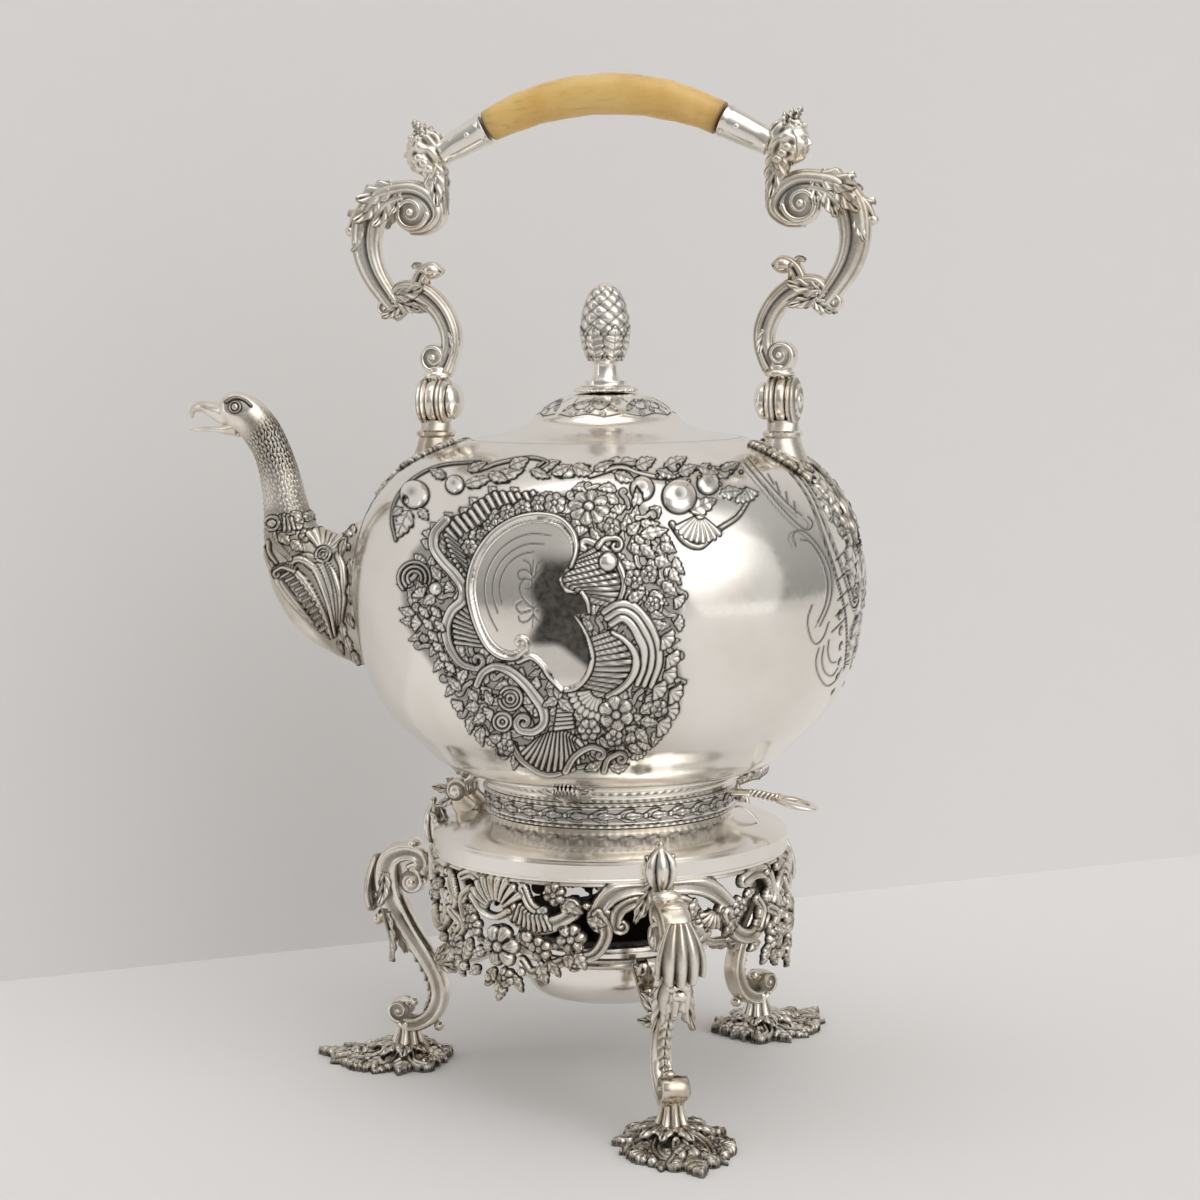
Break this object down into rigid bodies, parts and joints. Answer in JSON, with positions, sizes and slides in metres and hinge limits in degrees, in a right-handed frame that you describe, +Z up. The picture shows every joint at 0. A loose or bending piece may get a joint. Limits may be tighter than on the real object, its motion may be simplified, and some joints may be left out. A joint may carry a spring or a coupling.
{
  "type": "kettle on warming stand",
  "caption": "Round-bodied swing-handle kettle with a bird-head spout and hinged lid, tilting on a pierced scroll-legged stand over a spirit burner.",
  "frame": {"origin": "on the table at the level of the soles of the feet, under the middle of the length from spout tip to handle", "axes": "+Z up; -X towards the spout, +X towards the ringed locking pin; +Y towards the lid's hinge"},
  "size_m": [0.2732, 0.2164, 0.3814],
  "materials": {
    "silver": "polished, softly worn silver with dark patina in the recesses",
    "dark_silver": "dull, unpolished silver",
    "pin_metal": "plain pin, dulled",
    "grip": "aged amber-yellow grip, satin, darker at its edges",
    "wick_cotton": "woven cotton wick"
  },
  "bodies": {
    "stand": {"stand_collar": "silver", "stand_dome": "silver", "stand_pivot_lugs": "silver", "pivot_pin": "silver", "lock_strap": "silver", "leg_spout_side": "silver", "foot_spout_side": "silver", "leg_cap_spout_side": "silver", "leg_front": "silver", "foot_front": "silver", "leg_cap_front": "silver", "leg_rear": "silver", "foot_rear": "silver", "leg_cap_rear": "silver", "apron_front_left": "silver", "apron_right": "silver", "apron_back_left": "silver", "burner_frame": "silver"},
    "kettle": {"kettle_body": "silver", "kettle_skirt": "silver", "skirt_shell_front": "silver", "skirt_shell_right": "silver", "skirt_shell_back": "silver", "skirt_shell_left": "silver", "spout": "silver", "lid_hinge_seat": "silver", "lid_hinge_pin": "pin_metal", "handle_socket_left": "silver", "handle_socket_right": "silver", "handle_pin_left": "silver", "handle_pin_right": "silver", "kettle_pivot_knuckle": "silver", "kettle_lock_tongue": "silver"},
    "handle": {"handle_arm_left": "silver", "handle_arm_right": "silver", "handle_mask_left": "silver", "handle_mask_right": "silver", "ferrule_left": "silver", "ferrule_right": "silver", "grip_pin_left": "pin_metal", "grip_pin_right": "pin_metal", "grip": "grip"},
    "lid": {"lid": "silver", "lid_hinge_leaf": "silver", "finial_plinth": "silver", "finial": "silver", "finial_nut": "dark_silver"},
    "lock_pin": {"lock_pin": "silver"},
    "burner": {"burner_bowl": "silver", "burner_cover": "silver", "wick_tube": "dark_silver", "wick": "wick_cotton"}
  },
  "joints": [
    {"name": "kettle_tilt", "type": "hinge", "parent": "stand", "child": "kettle", "pos_m": [-0.02547, 0, 0.1109], "axis": [0, -1, 0], "range_deg": [0, 50]},
    {"name": "handle_swing", "type": "hinge", "parent": "kettle", "child": "handle", "pos_m": [0.03393, 0, 0.2607], "axis": [1, 0, 0], "range_deg": [-80, 80]},
    {"name": "lid_hinge", "type": "hinge", "parent": "kettle", "child": "lid", "pos_m": [0.03393, 0.0545, 0.24603], "axis": [-1, 0, 0], "range_deg": [0, 60]},
    {"name": "lock_pin_slide", "type": "slide", "parent": "stand", "child": "lock_pin", "axis": [1, 0, 0], "range_m": [-0.008, 0.012]},
    {"name": "burner_lift", "type": "slide", "parent": "stand", "child": "burner", "axis": [0, 0, 1], "range_m": [0, 0.025]}
  ]
}
